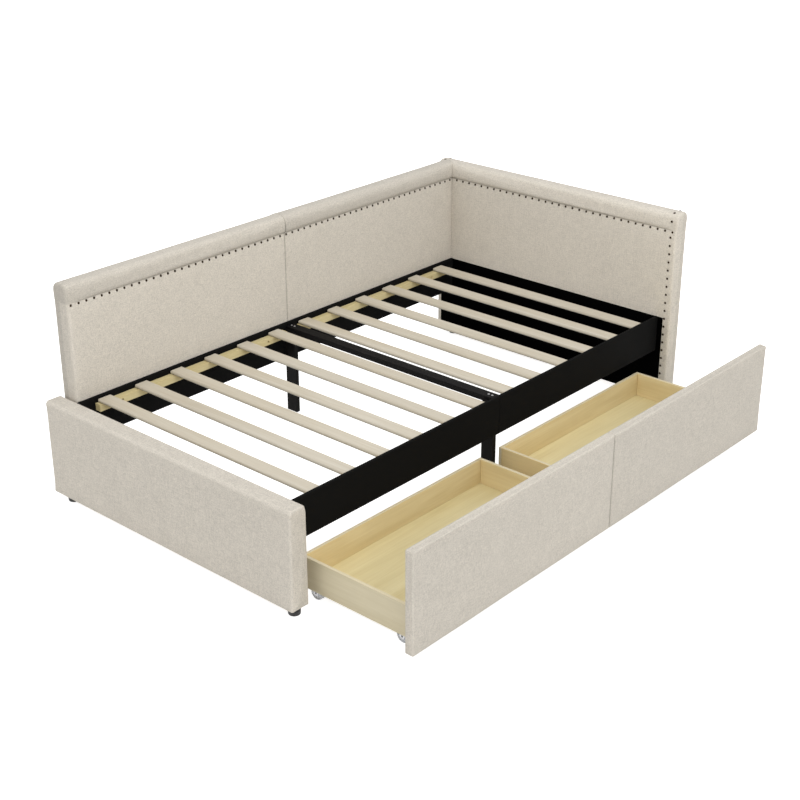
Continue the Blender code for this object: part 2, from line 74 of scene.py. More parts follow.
# Panels' sections, as the solids have them
TALL_THICKNESS = 0.071
ROLL_PROUD = 0.007
ROLL_CREASE = 0.688
ROLL_WIDEST = 0.704
ROLL_POWER = 3.2
ROLL_WIDE = (TALL_THICKNESS + ROLL_PROUD) / 2  # half the roll's thickness
ROLL_MIDDLE = TALL_THICKNESS - ROLL_WIDE
LINING_LEVEL = 0.345
BACK_SEAM_RADIUS = 0.003
BACK_CORNER_RADIUS = 0.002
SIDE_END_RADIUS = 0.008
BACK_END_RADIUS = 0.010
LOW_RADIUS = 0.0025
FOOTBOARD_RADIUS = 0.014
FOOTBOARD_END_RADIUS = 0.009
FRONT_RADIUS = 0.005
FRONT_SEAM_RADIUS = 0.004
PAD_LIFT = 0.0015  # tall pads' lower edges over the solids' lower edges
FOOTBOARD_LIFT = 0.0045  # the same of the footboard
TALL_CROWN = 0.006  # how far the pads' sections rise over the solids, before they are smoothed
FOOTBOARD_CROWN = 0.004
FRONT_CROWN = 0.002
END_SPARE = 0.002  # the same at their free ends
END_BULGE = 0.0015
FRONT_BULGE = 0.001
FRONT_DROP = 0.002  # drawer fronts' pads under their solids
FIT_GAP = 0.0004  # between a pad and what it touches
FIT_REACH = 0.028  # back panel's right end is drawn back over the side panel's shoulder by up to this much
FIT_LENGTH = 0.045
SIDE_FADE = (0.012, 0.11, 0.08)  # side panel's roll: from, to, and the least share of how far it stands out
BACK_FADE = (0.0, 0.16, 0.25)

# Mesh of the pads
FACE_STEP = 0.0105
ROLL_STEPS = 9
CREASE_STEPS = 5
CREASE_APPROACH = (0.0038, 0.0014)  # rows just under the crease
CORNER_STEPS = 5
LOW_STEPS = 3
EDGE_STEPS = 3
END_STEPS = 4
CAP_RINGS = 3
CAP_CORE_SHARE = 0.15
NAIL_SPLITS = 3  # stations from one nail to the next
PLAIN_ANCHOR = 0.02  # a station of the pads without nails, and the pitch of the rest
PLAIN_PITCH = 0.0112
STATION_MARGIN = 0.35  # share of the pitch from a rounded end to the next station

# Padding
SWELL_PRESSURE = 4.0
SWELL_FRAMES = 20
SWELL_MOST = 0.0022
GROOVE_DEPTH = 0.0022
GROOVE_SIGMA = 0.0032
GROOVE_LEVEL = ROLL_CREASE - 0.001
GROOVE_LEAST = 0.35  # share of its depth at the back panel's left end
DIMPLE_DEPTH = 0.0012
DIMPLE_SIGMA = 0.0065
UNEVEN = 0.0005
UNEVEN_SIZE = 0.16
HELD_EDGE = 0.004  # what stays still in the swelling: lower edges,
HELD_ABOVE = 0.012  # faces up to this far over the lining or the rail,
HELD_AROUND = 0.006  # the fabric around each nail,
HELD_BEHIND = 0.006  # the side panel behind the back panel's face, from this far before it,
HELD_END = 0.010  # the back panel's right end,
HELD_SHARE = 0.3  # and this share of a plain pad's thickness, at its hidden face

# Dome nails
NAIL_LEVEL = 0.6807
NAIL_RADIUS = 0.0047
NAIL_HEIGHT = 0.0026
NAIL_SINK = 0.0005
NAIL_SIDES = 14
NAIL_UNDER = (0.92, 0.0006)  # closed underside: share of the radius, and how far below the rim
NAIL_RAISE = 0.0003  # dome over the rim
NAIL_AIM = 0.5  # how much a nail's direction turns back along its ray
BACK_NAILS = 62
BACK_NAIL_PITCH = 0.03087
BACK_NAIL_START = 0.0232  # footboard's inner face to the first nail
LEFT_BACK_NAILS = 31
SIDE_NAILS = 33
SIDE_NAIL_PITCH = 0.0317
SIDE_NAIL_INSET = 0.0191  # side panel's front end to the row's last nail
COLUMN_INSET = 0.0255  # side panel's front end to the nail column
COLUMN_TOP = 0.6597
COLUMN_PITCH = 0.0317
COLUMN_NAILS = 19
BACK_COLUMN_INSET = 0.022  # side panel's back end to its nails over the top
ROLL_NAIL_LEVEL = 0.720  # nail on the roll over the column
FRONT_TOP_NAILS = (0.016, 0.055)  # across the side panel's top, near its front end
BACK_TOP_NAILS = (0.014, 0.047)
RAY_AWAY = 0.05  # where the rays that seat the nails start
RAY_TOP = 0.80

# Bar screws
BAR_SCREW_INSET = 0.019  # bar's far edge to its screws
BAR_SCREW_RADIUS = 0.0042
BAR_SCREWS_NEAR = (0.028, 0.043)  # from the bar's near end
BAR_SCREWS_FAR = (0.024, 0.009)


def linear(red, green, blue):
    """A display colour from 0 to 255 as the scene-linear colour that renders as it."""
    shares = [value / 255 for value in (red, green, blue)]
    return tuple(v / 12.92 if v <= 0.04045 else ((v + 0.055) / 1.055) ** 2.4 for v in shares)


# Tones, and pale and dark ones of the woods
LINEN = linear(212, 205, 193)
THREAD_PITCH = 0.0022
SLAT = linear(211, 204, 189), linear(197, 187, 167)
UPRIGHT_SHADE = 0.97  # painted shade: slats' upright faces, and their lowest part, against their tops
RIM_SHADE = 0.4
SLAT_RIM = 0.0037  # height of that part
PINE = linear(226, 212, 166), linear(210, 192, 140)
PLY = linear(223, 207, 166), linear(207, 187, 140)
BOTTOM = linear(228, 216, 172), linear(213, 198, 148)
OUTER = linear(214, 204, 176), linear(200, 188, 157)
RIGHT_OUTER_LIT = linear(246, 222, 166), linear(232, 206, 149)  # right drawer's left wall, its outside painted lighter as painted light against its shade
# Painted light: faces towards a drawer's inside are this much lighter
INNER_PAINTED_LIGHT = 0.15
BOX_PAINTED_SHADE = 0.18  # painted shade: bottoms and back walls, darker from left to right
PLY_EDGE = linear(241, 230, 200), linear(222, 206, 168)
PLIES = 7
ON_FACE = 0.6  # how far a normal points along the thickness, on a face
BOARD = linear(205, 180, 140), linear(178, 150, 108)
PAINT = linear(17, 17, 17)
STEEL_PAINT = linear(20, 19, 19)
LINING_TONE = linear(5, 5, 5)
BRONZE = linear(62, 50, 38)
FOOT_SPREAD = 0.002  # feet's radius over their solids'
FOOT_TONE = linear(9, 9, 9)
WHEEL_TONE = linear(232, 234, 238)
AXLE_TONE = linear(40, 40, 42)
ZINC = linear(190, 190, 192)

# Painted shade in the linen: how much darker it is in places, or painted light where below 0
CREASE_SHADE = 0.30
CREASE_DARK = (ROLL_CREASE - 0.0006, 0.0013)  # its level and spread
UNDER_SHADE = 0.08  # roll's underside
UNDER_DARK = (ROLL_CREASE + 0.006, 0.006)
SIDE_LIT = 0.09  # painted light on the side panel's inner face, at its front end
BACK_FACE_SHADE = {"left": -0.075, "right": -0.06}
BACK_ROLL_SHADE = {"left": 0.07, "right": 0.11}
BACK_REAR_SHADE = 0.05
BACK_END = 0.15
BACK_SEAM = 0.28
BACK_SEAM_SIGMA = 0.0022
SEAM_TOP = (0.715, 0.735)  # levels where that seam fades out
FRONT_FACE_SHADE = {"left": 0.03, "right": 0.06}
FRONT_SEAM = 0.25
FRONT_SEAM_SIGMA = 0.0025
SEAM_FADE = 0.02  # where that seam fades out, from a drawer front's top
# Along the panels: where creases and their shade set in, and where the left end's own shade stops
SIDE_CREASE_FADE = (COLUMN_INSET - 0.012, COLUMN_INSET + 0.010)
SIDE_SHADE_FADE = (0.006, 0.040)
BACK_CREASE_FADE = (0.004, 0.022)
BACK_SHADE_FADE = (0.004, 0.08)
BACK_END_FADE = (0.002, 0.011)


class Finish:
    """A material whose nodes are added by short calls, on the piece's own coordinates."""

    def __init__(self, name, tone, roughness, metallic=0.0, specular=0.5):
        self.material = bpy.data.materials.new(name)
        self.material.use_nodes = True
        self.tree = self.material.node_tree
        self.shader = self.tree.nodes["Principled BSDF"]
        self.shader.inputs["Base Color"].default_value = (*tone, 1.0)
        self.shader.inputs["Roughness"].default_value = roughness
        self.shader.inputs["Metallic"].default_value = metallic
        self.shader.inputs["Specular IOR Level"].default_value = specular
        self.material.diffuse_color = (*tone, 1.0)
        source = self.node("TexCoord")
        self.place = source.outputs["Object"]
        self.facing = source.outputs["Normal"]

    def node(self, kind, inputs=None, **settings):
        made = self.tree.nodes.new("ShaderNode" + kind)
        for name, value in settings.items():
            setattr(made, name, value)
        for socket, value in (inputs or {}).items():
            self.feed(made.inputs[socket], value)
        return made

    def feed(self, socket, value):
        if isinstance(value, bpy.types.NodeSocket):
            self.tree.links.new(value, socket)
        else:
            socket.default_value = value

    def op(self, operation, *values):
        return self.node("Math", dict(enumerate(values)), operation=operation).outputs[0]

    def times(self, first, second, plus=None):
        """A product, and what is added to it."""
        if plus is None:
            return self.op("MULTIPLY", first, second)
        return self.op("MULTIPLY_ADD", first, second, plus)

    def noise(self, scale, detail=2.0, vector=None, distortion=0.0):
        """Noise about a level of 0, mostly within half a unit of it."""
        inputs = {"Vector": vector or self.place, "Scale": scale, "Detail": detail}
        made = self.node("TexNoise", {**inputs, "Distortion": distortion})
        return self.op("SUBTRACT", made.outputs[0], 0.5)

    def grain(self, axis, along, scale, detail, distortion=0.0):
        """Noise whose scale along one axis is only the given share of the others'."""
        factors = [1.0, 1.0, 1.0]
        factors["XYZ".index(axis)] = along
        stretched = self.node("Mapping", {"Vector": self.place, "Scale": factors}).outputs[0]
        return self.noise(scale, detail, stretched, distortion)

    def weighted(self, *pairs):
        """One plus each signal times its weight."""
        total = 1.0
        for signal, weight in pairs:
            total = self.times(signal, weight, total)
        return total

    def clamped(self, value):
        return self.node("Clamp", {0: value}).outputs[0]

    def parted(self, vector):
        return self.node("SeparateXYZ", {0: vector}).outputs

    def blend(self, share, *pair):
        made = self.node("Mix", data_type="RGBA")
        self.feed(made.inputs[0], share)
        for socket, colour in zip((6, 7), pair):
            fixed = not isinstance(colour, bpy.types.NodeSocket)
            self.feed(made.inputs[socket], (*colour, 1.0) if fixed else colour)
        return made.outputs[2]

    def tint(self, colour, factor):
        """A colour, fixed or from a node, made lighter or darker by a factor."""
        return self.node("VectorMath", {0: colour, "Scale": factor}, operation="SCALE").outputs[0]

    def colour(self, signal):
        self.feed(self.shader.inputs["Base Color"], signal)

    def rough(self, signal):
        self.feed(self.shader.inputs["Roughness"], signal)

    def relief(self, height, distance):
        bump = self.node("Bump", {"Height": height, "Distance": distance, "Strength": 1.0})
        self.feed(self.shader.inputs["Normal"], bump.outputs[0])


def linen_finish():
    """Plain weave that lies in each face, with slubs, speckle and slow mottling, and painted shade and
    light from each pad's mesh.
    """
    made = Finish("Oatmeal_linen", LINEN, 0.92, specular=0.25)
    made.shader.inputs["Sheen Weight"].default_value = 0.12
    made.shader.inputs["Sheen Roughness"].default_value = 0.5
    thread = 2 * math.pi / THREAD_PITCH
    places = made.parted(made.place)
    facings = made.parted(made.facing)
    wander = made.noise(90.0)
    weave = 1.0
    slubs = 0.0
    for axis in range(3):
        square = made.times(facings[axis], facings[axis])
        lies = made.op("SUBTRACT", 1.0, square)
        phase = made.times(wander, 5.0, made.times(places[axis], thread))
        wave = made.op("SUBTRACT", made.op("COSINE", phase), 1.0)
        weave = made.times(weave, made.times(wave, lies, 1.0))
        slub = made.grain("XYZ"[axis], 0.09, 520.0, 1.0)
        slubs = made.times(slub, lies, slubs)
    speckle = made.noise(300.0, 2.0)
    mottle = made.noise(16.0, 3.0)
    # Painted shade kept per point in each pad's mesh, and painted light where it is below 0
    painted_shade = made.node("Attribute", attribute_name="painted_shade").outputs["Fac"]
    shade = made.weighted((speckle, 0.62), (slubs, 0.32), (mottle, 0.10), (weave, 0.035))
    shade = made.times(shade, made.op("SUBTRACT", 1.0, painted_shade))
    made.colour(made.tint(LINEN, shade))
    height = made.times(slubs, 0.9, made.times(speckle, 0.8, weave))
    made.relief(height, 0.00022)
    return made.material


def wood_finish(name, pale, dark, axis, roughness=0.5, apart=None, rim=None):
    """Straight grain along one axis.

    Pieces that lie apart along X at a steady pitch each get a tone of their own. Upright faces along Y get
    painted shade: a little darker all over, and much darker below the rim's level, for the eased edge's
    shade.
    """
    made = Finish(name, pale, roughness, specular=0.3)
    wide = made.grain(axis, 0.06, 26.0, 3.0, 0.6)
    fine = made.grain(axis, 0.03, 210.0, 3.0, 0.2)
    pores = made.grain(axis, 0.02, 900.0, 1.0)
    share = made.times(wide, 1.7, made.times(fine, 1.1, 0.45))
    shade = made.weighted((pores, 0.10), (made.noise(3.0), 0.06))
    if apart:
        start, pitch = apart
        from_start = made.op("SUBTRACT", made.parted(made.place)[0], start)
        number = made.op("ROUND", made.op("DIVIDE", from_start, pitch))
        own = made.node("TexWhiteNoise", {"W": number}, noise_dimensions="1D").outputs[0]
        shade = made.times(made.op("SUBTRACT", own, 0.5), 0.05, shade)
        share = made.times(own, 0.25, share)
    if rim:
        # Painted shade: upright faces a little darker, and much darker below the rim
        upright = made.op("GREATER_THAN", made.op("ABSOLUTE", made.parted(made.facing)[0]), 0.5)
        under = made.times(upright, made.op("LESS_THAN", made.parted(made.place)[2], rim))
        tone = made.times(upright, UPRIGHT_SHADE - 1.0, 1.0)
        tone = made.times(under, RIM_SHADE - UPRIGHT_SHADE, tone)
        shade = made.times(shade, tone)
    made.colour(made.tint(made.blend(made.clamped(share), pale, dark), shade))
    made.rough(made.times(fine, 0.15, roughness))
    made.relief(made.op("ADD", fine, made.times(pores, 0.5)), 0.00025)
    return made.material


def plywood_finish(node):
    """Veneered faces with the grain along the board, and plies on the edges across its thickness.

    The face towards the drawer's inside has its own tones and is painted lighter, as painted light, and so
    is the right drawer's left wall on its outside. Bottoms and back walls get painted shade, darker towards
    +X.
    """
    low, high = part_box(node)
    size = high - low
    through = min(range(3), key=lambda i: size[i])
    axis = "Y" if through == 0 else "X"
    made = Finish("Plywood_" + node, PLY[0], 0.5, specular=0.3)
    wide = made.grain(axis, 0.10, 13.0, 4.0, 1.2)
    fine = made.grain(axis, 0.035, 170.0, 3.0, 0.2)
    pores = made.grain(axis, 0.02, 800.0, 1.0)
    share = made.clamped(made.times(wide, 2.2, made.times(fine, 0.9, 0.4)))
    depth = made.op("SUBTRACT", made.parted(made.place)[through], low[through])
    layer = made.op("DIVIDE", depth, 2 * size[through] / PLIES)
    odd = made.op("GREATER_THAN", made.op("FRACT", layer), 0.5)
    edge = made.blend(made.times(odd, 0.8, made.times(fine, 0.6)), *PLY_EDGE)
    facing = made.parted(made.facing)[through]
    on_face = made.op("GREATER_THAN", made.op("ABSOLUTE", facing), ON_FACE)
    inward = 1.0 if node.endswith(("_bottom", "_wall_left")) else -1.0
    inner = made.op("GREATER_THAN", made.times(facing, inward), ON_FACE)
    # Painted light: the right drawer's left wall gets a lighter pair outside
    outer = RIGHT_OUTER_LIT if node.endswith("right_wall_left") else OUTER
    tones = BOTTOM if node.endswith("_bottom") else PLY
    face = made.blend(inner, made.blend(share, *outer), made.blend(share, *tones))
    clouds = made.noise(9.0, 3.0)
    # Painted light: the inward faces are lighter
    shade = made.weighted((pores, 0.08), (made.noise(2.5), 0.14), (clouds, 0.10), (inner, INNER_PAINTED_LIGHT))
    # Painted shade: bottoms and back walls get darker towards +X
    if node.endswith(("_bottom", "_wall_back")):
        along = made.op("DIVIDE", made.op("SUBTRACT", made.parted(made.place)[0], low.x), size.x)
        fade = made.times(along, -BOX_PAINTED_SHADE, 1.0 + BOX_PAINTED_SHADE / 3)
        shade = made.times(shade, fade)
    made.colour(made.tint(made.blend(on_face, edge, face), shade))
    made.rough(made.times(fine, 0.15, 0.5))
    made.relief(made.op("ADD", fine, made.times(pores, 0.5)), 0.00018)
    return made.material


def coated_finish(name, tone, roughness, metallic=0.0, specular=0.5, grain=700.0, relief=0.00006):
    """Paint, moulded plastic or plated metal: a fine orange peel and slow changes of gloss."""
    made = Finish(name, tone, roughness, metallic, specular)
    peel = made.noise(grain, 2.0)
    slow = made.noise(9.0, 3.0)
    made.colour(made.tint(tone, made.weighted((peel, 0.12), (slow, 0.18))))
    made.rough(made.times(slow, 0.16, made.times(peel, 0.08, roughness)))
    made.relief(peel, relief)
    return made.material


def clear_wheel_finish():
    made = Finish("Clear_wheel", WHEEL_TONE, 0.22, specular=0.5)
    made.shader.inputs["Transmission Weight"].default_value = 0.45
    made.shader.inputs["IOR"].default_value = 1.46
    scuff = made.noise(320.0, 3.0)
    made.colour(made.tint(WHEEL_TONE, made.weighted((scuff, 0.12))))
    made.rough(made.times(scuff, 0.2, 0.22))
    made.relief(scuff, 0.00008)
    return made.material


def line(start, end, count):
    """Evenly spaced points from start towards end, without the end."""
    steps = np.linspace(0, 1, count, endpoint=False)[:, None]
    return np.array(start) + steps * (np.array(end) - np.array(start))


def arc(centre, radius, first, last, count):
    turns = np.radians(np.linspace(first, last, count, endpoint=False))
    return np.array(centre) + radius * np.column_stack([np.cos(turns), np.sin(turns)])


def steps_over(length):
    return max(2, math.ceil(length / FACE_STEP))


def closed_section(inner, outer):
    """A closed outline from two halves that run up from the bottom's middle, and the top point's number."""
    return np.vstack([inner, outer[-2:0:-1]]), len(inner) - 1


def square_section(thickness, bottom, top, radius):
    """Across from 0 to the thickness, with both upper edges rounded."""
    middle = thickness / 2
    inner = np.vstack(
        [
            line((middle, bottom), (LOW_RADIUS, bottom), EDGE_STEPS),
            arc((LOW_RADIUS, bottom + LOW_RADIUS), LOW_RADIUS, 270, 180, LOW_STEPS),
            line((0, bottom + LOW_RADIUS), (0, top - radius), steps_over(top - bottom)),
            arc((radius, top - radius), radius, 180, 90, CORNER_STEPS),
            line((radius, top), (middle, top), EDGE_STEPS),
            [(middle, top)],
        ]
    )
    outer = inner * (-1, 1) + (thickness, 0)
    return closed_section(inner, outer)


def roll_section(bottom, top):
    """The tall panels' section: inner face at 0, crease over the nails and padded roll on top."""
    thickness = TALL_THICKNESS
    face_low = bottom + LOW_RADIUS
    quarter = np.radians(np.linspace(0, 90, ROLL_STEPS + 1))
    reach = ROLL_WIDE * np.cos(quarter) ** (2 / ROLL_POWER)
    rise = ROLL_WIDEST + (top - ROLL_WIDEST) * np.sin(quarter) ** (2 / ROLL_POWER)
    crease = np.radians(np.linspace(90, 0, CREASE_STEPS, endpoint=False))
    fold = np.column_stack(
        [-ROLL_PROUD * np.cos(crease), ROLL_WIDEST - (ROLL_WIDEST - ROLL_CREASE) * np.sin(crease)]
    )

    def half(face, low_centre, low_end, between, roll):
        return np.vstack(
            [
                line((thickness / 2, bottom), (low_centre, bottom), EDGE_STEPS),
                arc((low_centre, face_low), LOW_RADIUS, 270, low_end, LOW_STEPS),
                line((face, face_low), (face, NAIL_LEVEL), steps_over(NAIL_LEVEL - face_low)),
                [(face, NAIL_LEVEL)] + [(face, ROLL_CREASE - drop) for drop in CREASE_APPROACH],
                between,
                np.column_stack([roll, rise]),
            ]
        )

    inner = half(0, LOW_RADIUS, 180, fold, ROLL_MIDDLE - reach)
    straight = line((thickness, ROLL_CREASE), (thickness, ROLL_WIDEST), CREASE_STEPS)
    outer = half(thickness, thickness - LOW_RADIUS, 360, straight, ROLL_MIDDLE + reach)
    return closed_section(inner, outer)


def stations(length, start_radius, end_radius, anchor, pitch):
    """Rings: place along the panel, how far the outline is drawn in, and share of the way over the cap."""
    turns = np.radians(np.linspace(0, 90, END_STEPS + 1))
    start_cap = [(0.0, start_radius, share) for share in np.linspace(1, 0, CAP_RINGS, endpoint=False)]
    start, end = (
        [(radius * (1 - math.cos(t)), radius * (1 - math.sin(t)), 0.0) for t in turns]
        for radius in (start_radius, end_radius)
    )
    end = [(length - along, inset, cap) for along, inset, cap in end[::-1]]
    end_cap = [(length, end_radius, share) for share in np.linspace(0, 1, CAP_RINGS + 1)[1:]]
    margin = STATION_MARGIN * pitch
    first = math.ceil((start_radius + margin - anchor) / pitch)
    last = math.floor((length - end_radius - margin - anchor) / pitch)
    middle = [(anchor + number * pitch, 0.0, 0.0) for number in range(first, last + 1)]
    return start_cap + start + middle + end + end_cap


def tube_faces(rings, count):
    """Quads between rings of points, one ring after another."""
    around = [(i, (i + 1) % count) for i in range(count)]
    starts = range(0, (rings - 1) * count, count)
    return [(s + i, s + j, s + count + j, s + count + i) for s in starts for i, j in around]


def add_object(data):
    made = bpy.data.objects.new(data.name, data)
    bpy.context.scene.collection.objects.link(made)
    return made


class Pad:
    """A padded panel, swept along its length. Local places are along, across from the face, and up."""

    def __init__(self, name, body, section, place, length, radii, anchor, pitch, crown=(0.0, 0.0)):
        self.name = name
        self.body = body
        self.outline, self.half = section
        self.place = place
        self.turn = np.array(place.to_3x3())
        self.origin = np.array(place.translation)
        self.length = length
        self.rows = stations(length, *radii, anchor, pitch)
        self.crown = crown
        self.grooves = self.shade = lambda u, v, w: np.zeros(len(u))
        self.spots = []

    def sweep(self, shape=None):
        """Places each ring of the section, drawn in towards the section's middle line at the ends."""
        across, up = self.outline.T
        thickness = across.max() - max(across.min(), 0)
        rings = []
        for along, inset, cap in self.rows:
            v, w = shape(along, across, up) if shape else (across, up)
            core_low = up.min() + thickness / 2
            core_high = up.max() - thickness / 2
            core = np.column_stack([np.full(len(v), thickness / 2), np.clip(w, core_low, core_high)])
            reach = np.column_stack([v, w]) - core
            size = np.linalg.norm(reach, axis=1)
            share = 1 - inset / size
            share = share + (CAP_CORE_SHARE - share) * cap
            bulge = -self.crown[0] if along < self.length / 2 else self.crown[1]
            u = np.full(len(v), along + bulge * (1 - (1 - cap) ** 2))
            rings.append(np.column_stack([u, core + reach * share[:, None]]))
        self.local = np.vstack(rings)
        return self

    def faces(self):
        count = len(self.outline)
        made = tube_faces(len(self.rows), count)
        for start in (0, (len(self.rows) - 1) * count):
            for i in range(self.half):
                corners = [i, i + 1, (count - i - 1) % count, (count - i) % count]
                made.append([start + c for c in dict.fromkeys(corners)])
        return made

    def to_local(self, places):
        return (places - self.origin) @ np.linalg.inv(self.turn).T

    def build(self):
        mesh = bpy.data.meshes.new(self.name)
        places = self.local @ self.turn.T + self.origin
        mesh.from_pydata(places.tolist(), [], self.faces())
        work = bmesh.new()
        work.from_mesh(mesh)
        bmesh.ops.recalc_face_normals(work, faces=work.faces)
        work.to_mesh(mesh)
        work.free()
        self.piece = add_object(mesh)


def vectors(items, field="co"):
    values = np.empty(len(items) * 3)
    items.foreach_get(field, values)
    return values.reshape(-1, 3)


def put_coordinates(mesh, places):
    mesh.vertices.foreach_set("co", places.astype(np.float32).ravel())
    mesh.update()


def swell(pads):
    """Blows the pads up a little against what holds them, and keeps the result in their meshes."""
    scene = bpy.context.scene
    for pad in pads:
        group = pad.piece.vertex_groups.new(name="held")
        group.add([int(i) for i in np.flatnonzero(pad.held(*pad.local.T))], 1.0, "REPLACE")
        cloth = pad.piece.modifiers.new("Padding", "CLOTH")
        cloth.settings.quality = 4
        cloth.settings.mass = 0.3
        cloth.settings.tension_stiffness = 20
        cloth.settings.compression_stiffness = 20
        cloth.settings.bending_stiffness = 1.5
        cloth.settings.use_pressure = True
        cloth.settings.uniform_pressure_force = SWELL_PRESSURE
        cloth.settings.effector_weights.gravity = 0.0
        cloth.settings.vertex_group_mass = group.name
        cloth.point_cache.frame_start = 1
        cloth.point_cache.frame_end = SWELL_FRAMES
    for number in range(1, SWELL_FRAMES + 1):
        scene.frame_set(number)
    graph = bpy.context.evaluated_depsgraph_get()
    blown = [vectors(pad.piece.evaluated_get(graph).data.vertices) for pad in pads]
    for pad, places in zip(pads, blown):
        pad.piece.modifiers.clear()
        pad.piece.vertex_groups.clear()
        rest = vectors(pad.piece.data.vertices)
        move = places - rest
        size = np.maximum(np.linalg.norm(move, axis=1), 1e-9)
        capped = SWELL_MOST * np.tanh(size / SWELL_MOST)
        put_coordinates(pad.piece.data, rest + move * (capped / size)[:, None])
    scene.frame_set(1)


def subdivide(piece):
    """Keeps one level of subdivision in the piece's mesh."""
    finer = piece.modifiers.new("Finer", "SUBSURF")
    finer.levels = 1
    finer.render_levels = 1
    graph = bpy.context.evaluated_depsgraph_get()
    mesh = bpy.data.meshes.new_from_object(piece.evaluated_get(graph))
    piece.modifiers.clear()
    piece.data = mesh
    mesh.name = piece.name


def unevenness(places):
    """Slow, small bumps in the padding."""
    return np.array([noise.noise(Vector(p) / UNEVEN_SIZE) for p in places.tolist()]) * UNEVEN


def draw_in(pad):
    """Presses creases and nails' dimples into the padding, and keeps the fabric's painted shade and light
    there.
    """
    mesh = pad.piece.data
    places = vectors(mesh.vertices)
    local = pad.to_local(places)
    depth = pad.grooves(*local.T)
    for spot in pad.spots:
        away = np.sum((local - spot) ** 2, axis=1)
        depth = depth + DIMPLE_DEPTH * np.exp(-away / (2 * DIMPLE_SIGMA**2))
    painted_shade = mesh.attributes.new("painted_shade", "FLOAT", "POINT")
    painted_shade.data.foreach_set("value", pad.shade(*local.T).astype(np.float32))
    lift = unevenness(places) * (depth < GROOVE_DEPTH / 2) * pad.loose(*local.T)
    outward = vectors(mesh.vertex_normals, "vector")
    put_coordinates(mesh, places + outward * (lift - depth)[:, None])
    mesh.shade_smooth()


def bell(values, middle, sigma):
    return np.exp(-((values - middle) ** 2) / (2 * sigma**2))


def ramp(values, low, high):
    """Smooth step from 0 at low to 1 at high."""
    share = np.clip((values - low) / (high - low), 0, 1)
    return share * share * (3 - 2 * share)


def local_frame(origin, along, across):
    """Matrix from a panel's own places to the row frame."""
    up = (0, 0, 1)
    return Matrix([(*c, o) for c, o in zip(zip(along, across, up), origin)] + [(0, 0, 0, 1)])


def dress(pad, finish, fill, *nodes):
    piece = pad.piece
    piece.data.materials.clear()
    piece.data.materials.append(finish)
    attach(piece, pad.body)
    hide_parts(*nodes)


def nail_mesh(name, seats):
    """One mesh of many dome nails. A seat is a point on the fabric and its outward direction."""
    turns = np.radians(np.linspace(0, 90, 5))
    profile = [(NAIL_RADIUS * NAIL_UNDER[0], -NAIL_SINK - NAIL_UNDER[1]), (NAIL_RADIUS, -NAIL_SINK)]
    dome = NAIL_RAISE - NAIL_SINK
    profile += [(NAIL_RADIUS * math.cos(t), NAIL_HEIGHT * math.sin(t) + dome) for t in turns[:-1]]
    angles = np.linspace(0, 2 * math.pi, NAIL_SIDES, endpoint=False)
    points = [(r * math.cos(a), r * math.sin(a), h) for r, h in profile for a in angles]
    points.append((0, 0, NAIL_HEIGHT + dome))
    shape = np.array(points)
    top = len(points) - 1
    rings = len(profile)
    faces = tube_faces(rings, NAIL_SIDES)
    last = (rings - 1) * NAIL_SIDES
    faces += [(last + i, last + (i + 1) % NAIL_SIDES, top) for i in range(NAIL_SIDES)]
    faces.append(tuple(range(NAIL_SIDES))[::-1])
    places = []
    polygons = []
    for number, (spot, outward) in enumerate(seats):
        turn = np.array(outward.to_track_quat("Z", "Y").to_matrix())
        places += (shape @ turn.T + np.array(spot)).tolist()
        offset = number * len(points)
        polygons += [tuple(offset + i for i in face) for face in faces]
    mesh = bpy.data.meshes.new(name)
    mesh.from_pydata(places, [], polygons)
    mesh.shade_smooth()
    mesh.set_sharp_from_angle(angle=math.radians(60))
    return mesh


def seats_on(pad, rays):
    """Where each ray meets the pad: the point and the surface's direction there."""
    mesh = pad.piece.data
    tree = BVHTree.FromPolygons([v.co for v in mesh.vertices], [p.vertices for p in mesh.polygons])
    found = []
    for start, toward in rays:
        spot, outward, _, _ = tree.ray_cast(Vector(start), Vector(toward))
        if spot is not None:
            if outward.dot(Vector(toward)) > 0:
                outward = -outward
            aim = (outward - NAIL_AIM * Vector(toward).normalized()).normalized()
            found.append((spot, aim))
    return found


def add_nails(name, pad, rays, finish):
    piece = add_object(nail_mesh(name, seats_on(pad, rays)))
    piece.data.materials.append(finish)
    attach(piece, pad.body)


def turned_mesh(name, parts, axis, sides):
    """Closed turned bodies in one mesh. A part is a profile of radius and place along, and a slot."""
    work = bmesh.new()
    for profile, slot in parts:
        before = set(work.faces)
        points = [work.verts.new((radius, 0, along)) for radius, along in profile]
        edges = [work.edges.new(pair) for pair in zip(points, points[1:])]
        whole = dict(axis=(0, 0, 1), cent=(0, 0, 0), angle=2 * math.pi, use_duplicate=False)
        bmesh.ops.spin(work, geom=points + edges, steps=sides, **whole)
        for face in set(work.faces) - before:
            face.material_index = slot
    bmesh.ops.remove_doubles(work, verts=work.verts, dist=1e-6)
    bmesh.ops.recalc_face_normals(work, faces=work.faces)
    if axis == "X":
        turn = Matrix.Rotation(math.pi / 2, 3, "Y")
        bmesh.ops.rotate(work, verts=work.verts, cent=(0, 0, 0), matrix=turn)
    mesh = bpy.data.meshes.new(name)
    work.to_mesh(mesh)
    work.free()
    mesh.shade_smooth()
    mesh.set_sharp_from_angle(angle=math.radians(50))
    return mesh


def rounded(profile_corners, radius, steps=4):
    """A profile whose corners, apart from its ends, are eased by short arcs."""
    points = [profile_corners[0]]
    for before, corner, after in zip(profile_corners, profile_corners[1:], profile_corners[2:]):
        here = Vector(corner)
        into = Vector(before) - here
        out = Vector(after) - here
        reach = min(radius, into.length / 2.1, out.length / 2.1)
        first = here + into.normalized() * reach
        last = here + out.normalized() * reach
        for step in range(steps + 1):
            t = step / steps
            points.append(tuple((1 - t) ** 2 * first + 2 * t * (1 - t) * here + t * t * last))
    points.append(profile_corners[-1])
    return points


def place_turned(mesh, centre, body, node, finishes):
    piece = add_object(mesh)
    piece.location = centre
    for finish in finishes:
        piece.data.materials.append(finish)
    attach(piece, body)
    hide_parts(node)


